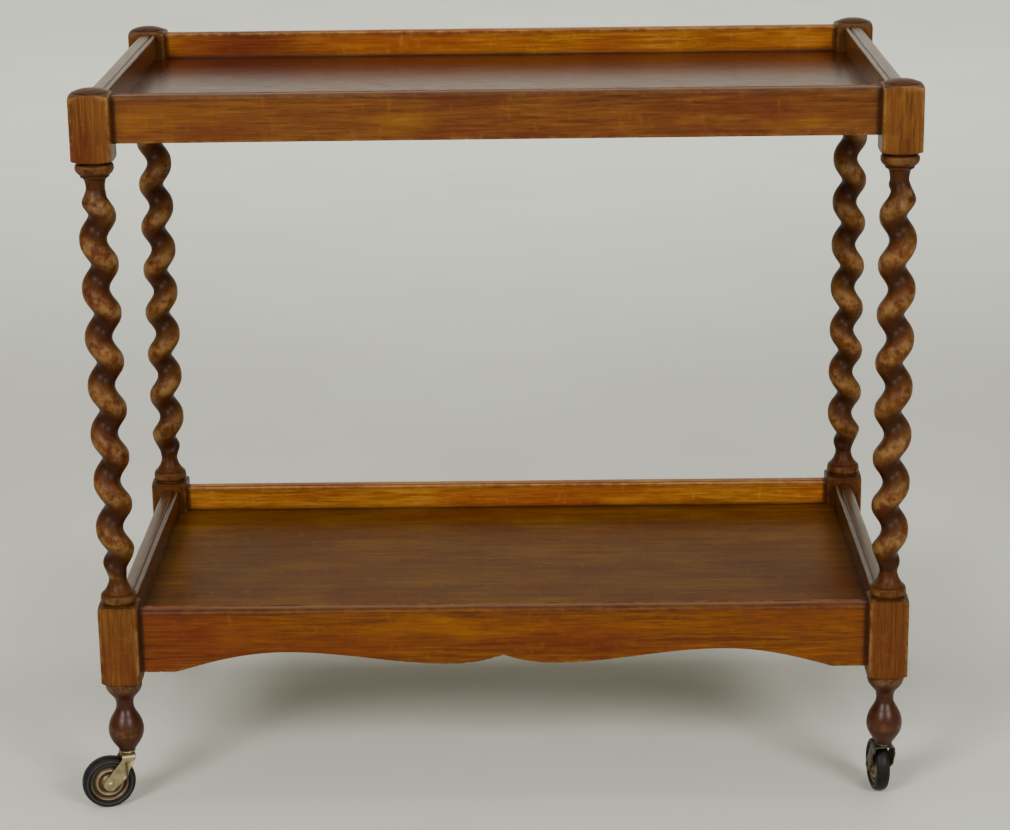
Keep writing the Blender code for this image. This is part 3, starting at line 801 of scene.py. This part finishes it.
def spun_mesh(name, profile, sides, turn, wear_and_highlight=None, grime_and_shade=None, along_y=False):
    """A closed turned solid: the profile runs round a ring-shaped section."""
    rings, wear_and_highlight_values = spun(profile, sides, wear_and_highlight, along_y)
    _, dirt_and_shade = spun(profile, sides, grime_and_shade, along_y)
    mesh = rings_to_mesh(name, rings, {"wear_and_highlight": wear_and_highlight_values, "grime_and_shade": dirt_and_shade}, caps=False)
    bm = bmesh.new()
    bm.from_mesh(mesh)
    bmesh.ops.remove_doubles(bm, verts=bm.verts, dist=1e-6)
    bmesh.ops.recalc_face_normals(bm, faces=bm.faces)
    bm.to_mesh(mesh)
    bm.free()
    mesh.transform(turn)
    return mesh


def ring_profile(half):
    """Both sides of a wheel from one side's (radius, distance from the middle) points."""
    return half + [(radius, -along) for radius, along in reversed(half)]


def disc_half():
    """One side of the wheel's disc: a hub, then a raised ring between two hollows."""
    bore = [(0.0026, 0.0072), (0.0034, 0.0078), (0.0050, 0.0078), (0.0058, 0.0070)]
    dish = curve_through([
        (0.0062, 0.0056), (0.0078, 0.0040), (0.0095, 0.0036), (0.0110, 0.0046), (0.0124, 0.0055),
        (0.0137, 0.0049), (0.0149, 0.0034), (0.0164, 0.0034), (0.0175, 0.0046), (0.0185, 0.0050),
    ], 3)
    return bore + dish


def tyre_half():
    """One side of the tyre: two moulded ridges, then the rounded tread."""
    return curve_through([
        (0.01865, 0.0042), (0.0188, 0.0054), (0.0196, 0.0062), (0.0203, 0.0058), (0.0210, 0.0059),
        (0.0217, 0.0067), (0.0225, 0.00675), (0.0232, 0.0061), (0.0240, 0.0061), (0.0249, 0.0057),
        (0.0257, 0.0045), (0.0262, 0.0029), (WHEEL_RADIUS, 0.0010),
    ], 3)


def height_marks(half, low, high):
    """A mark that grows with a side profile's distance from the wheel's middle."""
    values = [float(smooth_step((along - low) / (high - low))) for _, along in half]
    return values + values[::-1]


def fork_edges(z):
    """Front and back edge of a fork leg at a height: an upright neck that rakes back to a round eye."""
    eye_radius = 0.0065
    knee_z, knee_x = 0.0510, 0.0073
    rake_z, rake_x = WHEEL_RADIUS + 0.0049, TRAIL + 0.0043
    waist_z, waist_x = 0.0345, 0.0022
    low_z, low_x = WHEEL_RADIUS - 0.0059, TRAIL - 0.0027

    off_eye = z - WHEEL_RADIUS
    round_eye = math.sqrt(max(0.0, eye_radius ** 2 - off_eye ** 2))
    if z > knee_z:
        back = knee_x
    elif z > rake_z:
        back = knee_x + (rake_x - knee_x) * (knee_z - z) / (knee_z - rake_z)
    else:
        back = TRAIL + round_eye

    if z > waist_z:
        front = waist_x - 0.0087 * float(smooth_step((z - waist_z) / 0.0195)) ** 1.2
    elif z >= low_z:
        front = waist_x + (low_x - waist_x) * min(1.0, (waist_z - z) / (waist_z - low_z)) ** 1.15
    else:
        front = TRAIL - round_eye
    return front, max(back, front + 0.0002)


def fork_path():
    """One turn of the fork's sheet in Y and Z: up one leg, round its bend, over the crown and down."""
    half_width, top, bend = 0.0106, 0.0556, 0.0034
    bottom = WHEEL_RADIUS - 0.0064
    path = [(half_width, z) for z in bottom + (top - bend - bottom) * np.linspace(0, 1, 44) ** 1.6]
    path += arc((half_width - bend, top - bend), bend, 0, 90, 8)[1:]
    path += [(y, top) for y in np.linspace(half_width - bend, 0, 6)[1:]]
    return path + [(-y, z) for y, z in reversed(path[:-1])]


def fork_mesh(name, turn):
    """Sheet fork: crown, bends and two tapering legs, with a turned-out front lip on each leg."""
    columns = 18
    lip_out, crease_in, swell_out, swell_reach = 0.0014, 0.0007, 0.0005, 0.0045
    path = fork_path()
    rings, grime_and_shade_rings = [], []
    for y, z in path:
        front, back = fork_edges(z)
        outward_y = 1 if y > 0 else -1
        on_leg = float(smooth_step((0.0505 - z) / 0.004)) * float(smooth_step((z - 0.028) / 0.004))
        ring, grime_and_shade = [], []
        for column in range(columns + 1):
            x = front + (back - front) * column / columns
            lip = float(smooth_step((front + 0.0030 - x) / 0.0022)) * on_leg
            crease = math.exp(-((x - 0.0034) / 0.0016) ** 2) * on_leg
            off_eye = (x - TRAIL) ** 2 + (z - WHEEL_RADIUS) ** 2
            swell = swell_out * math.exp(-off_eye / swell_reach ** 2)
            out = lip_out * lip - crease_in * crease + swell
            ring.append((x, y + outward_y * out, z))
            # The crease is darkened as painted shade.
            grime_and_shade.append(min(1.0, 0.9 * crease))
        rings.append(ring)
        grime_and_shade_rings.append(grime_and_shade)
    unworn = [[0.0] * (columns + 1)] * len(path)
    mesh = rings_to_mesh(name, rings, {"grime_and_shade": grime_and_shade_rings, "wear_and_highlight": unworn}, closed=False, caps=False)
    mesh.transform(turn)
    return mesh


def rivet_profile():
    """Axle with a domed head outside each fork leg, as a closed ring about its own axis."""
    shaft, reach = 0.0022, 0.0107
    head = arc((0.0, reach - 0.0030), 0.0046, 90, 40, 7)
    head = [(max(radius, ON_AXIS), along) for radius, along in head]
    return ring_profile(head + [(0.0037, reach), (shaft, reach)])


def socket_profile():
    """Sleeve up the foot, and the rounded flange below it."""
    bottom, top = (corner[2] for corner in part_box("caster_socket_front_left"))
    middle = (FOOT_BOTTOM + bottom) / 2
    bore, sleeve = 0.0040, 0.0052
    return [
        (bore, top), (sleeve, top), (sleeve, FOOT_BOTTOM), (0.0077, FOOT_BOTTOM), (0.0080, middle),
        (0.0077, bottom + 0.0003), (0.0070, bottom), (bore, bottom),
    ]


def stem_profile():
    """Swivel pin with a chamfered top, waisted through the crown, and its riveted lower end."""
    low, high = (corner[2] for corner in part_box("caster_stem_front_left"))
    pin, waist = 0.0037, 0.0030
    crown_top, crown_bottom = 0.0559, 0.0537
    return [
        (ON_AXIS, high), (waist, high), (pin, high - 0.001), (pin, crown_top), (waist, crown_top),
        (waist, crown_bottom), (0.0046, crown_bottom), (0.0043, low + 0.0004), (0.0034, low), (ON_AXIS, low),
    ]


def make_casters():
    bronze, rubber = bronze_disc(), black_rubber()
    joints = {joint["name"]: joint for joint in frame["record"]["behaviour"]["joints"]}
    for corner in CORNERS:
        # The front right caster's steel is darkened as painted shade; the others are only slightly
        # tarnished.
        tarnish_and_shade = 0.90 if corner == "front_right" else 0.10
        steel = plated_steel("plated_steel_" + corner, tarnish_and_shade)
        pivot = Vector(joints[corner + "_swivel"]["pos_m"])
        centre = Vector(joints[corner + "_roll"]["pos_m"])
        trail = math.atan2(centre.y - pivot.y, centre.x - pivot.x)
        upright = Matrix.Translation((pivot.x, pivot.y, 0)) @ Matrix.Rotation(trail, 4, "Z")
        wheel = Matrix.Translation(centre) @ Matrix.Rotation(trail, 4, "Z")

        name = "flanged_socket_" + corner
        mesh = spun_mesh(name, socket_profile(), 48, upright)
        place_piece(name, mesh, steel, "caster_socket_" + corner)

        name = "riveted_stem_" + corner
        mesh = spun_mesh(name, stem_profile(), 40, upright)
        place_piece(name, mesh, steel, "caster_stem_" + corner)

        name = "pressed_fork_" + corner
        mesh = fork_mesh(name, upright)
        fork = place_piece(name, mesh, steel, "caster_fork_" + corner, angle=60)
        thick = fork.modifiers.new("Sheet", "SOLIDIFY")
        thick.thickness = FORK_SHEET
        thick.offset = -1.0
        thick.use_even_offset = True
        rim = fork.modifiers.new("Rim", "BEVEL")
        rim.width = 0.0003
        rim.segments = 2
        rim.limit_method = "ANGLE"
        rim.angle_limit = math.radians(60)

        name = "domed_axle_" + corner
        mesh = spun_mesh(name, rivet_profile(), 36, wheel, along_y=True)
        place_piece(name, mesh, steel, "caster_axle_" + corner)

        name = "dished_disc_" + corner
        half = disc_half()
        wear_and_highlight = height_marks(half, 0.0048, 0.0056)
        grime_and_shade = [1.0 - value for value in height_marks(half, 0.0034, 0.0042)]
        mesh = spun_mesh(name, ring_profile(half), 96, wheel, wear_and_highlight, grime_and_shade, along_y=True)
        place_piece(name, mesh, bronze, "wheel_disc_" + corner)

        name = "ridged_tyre_" + corner
        half = tyre_half()
        wear_and_highlight = height_marks(half, 0.0060, 0.0066)
        mesh = spun_mesh(name, ring_profile(half), 128, wheel, wear_and_highlight, along_y=True)
        place_piece(name, mesh, rubber, "wheel_tyre_" + corner)


# Stage: a pale floor that sweeps up into a wall all round, soft lights and the camera.

def make_stage():
    n = Nodes("studio_paper")
    mottle = n.noise(n.stretched((3, 3, 3)), detail=3.0)
    tone = n.blend(n.span(mottle, 0.3, 0.7), (0.61, 0.61, 0.54), (0.65, 0.65, 0.58))
    paper = n.finish(Base_Color=tone, Roughness=0.9)
    floor_radius, sweep_radius, wall_height = 5.4, 1.6, 6.0
    profile = [(radius, 0.0) for radius in (0.001, 1.0, 3.0, floor_radius)]
    profile += arc((floor_radius, sweep_radius), sweep_radius, -85, 0, 16)
    profile.append((floor_radius + sweep_radius, wall_height))
    rings = []
    sides = 96
    for side in range(sides + 1):
        angle = math.tau * side / sides
        x, y = math.cos(angle), math.sin(angle)
        rings.append([(radius * x, radius * y, height) for radius, height in profile])
    mesh = rings_to_mesh("studio_sweep", rings, {}, closed=False, caps=False)
    mesh.flip_normals()
    mesh.shade_smooth()
    mesh.materials.append(paper)
    sweep = bpy.data.objects.new("studio_sweep", mesh)
    bpy.context.scene.collection.objects.link(sweep)


def soft_light(name, place, target, size, power, colour=(1.0, 1.0, 1.0)):
    """A rectangular soft light that faces its target."""
    light = bpy.data.lights.new(name, "AREA")
    light.shape = "RECTANGLE"
    light.size, light.size_y = size
    light.energy = power
    light.color = colour
    lamp = bpy.data.objects.new(name, light)
    lamp.location = place
    lamp.rotation_euler = (Vector(target) - Vector(place)).to_track_quat("-Z", "Y").to_euler()
    bpy.context.scene.collection.objects.link(lamp)


def make_lights():
    cart = (0, 0, 0.4)
    soft_light("key_left", (-1.7, -3.2, 2.2), cart, size=(1.2, 1.0), power=120, colour=(1.0, 0.98, 0.95))
    soft_light("key_right", (1.9, -3.1, 2.1), cart, size=(1.2, 1.0), power=100, colour=(1.0, 0.99, 0.97))
    soft_light("overhead", (0.0, 0.3, 3.8), (0, 0, 0), size=(2.4, 2.0), power=50)
    soft_light("wall_wash", (0.0, 2.6, 3.6), (0, 6.8, 1.6), size=(5.0, 1.2), power=260)
    world = bpy.data.worlds.new("studio")
    world.use_nodes = True
    background = world.node_tree.nodes["Background"]
    background.inputs["Color"].default_value = (0.98, 1.0, 0.93, 1.0)
    background.inputs["Strength"].default_value = 0.35
    bpy.context.scene.world = world


def make_camera():
    """The view from in front of the cart and above it, looking a little down."""
    camera = bpy.data.cameras.new("camera")
    camera.sensor_width = 36.0
    camera.lens = 96.108
    camera.clip_end = 50.0
    eye = bpy.data.objects.new("camera", camera)
    place = Matrix.Translation((0.0361, -2.6550, 1.1242))
    yaw, pitch, roll = (math.radians(angle) for angle in (0.7324, -16.4519, 0.7972))
    turn = Matrix.Rotation(yaw, 4, "Z") @ Matrix.Rotation(pitch, 4, "X") @ Matrix.Rotation(roll, 4, "Y")
    eye.matrix_world = place @ turn @ Matrix.Rotation(math.pi / 2, 4, "X")
    bpy.context.scene.collection.objects.link(eye)
    bpy.context.scene.camera = eye


make_legs()
make_rails()
make_panels()
make_casters()
make_stage()
make_lights()
make_camera()
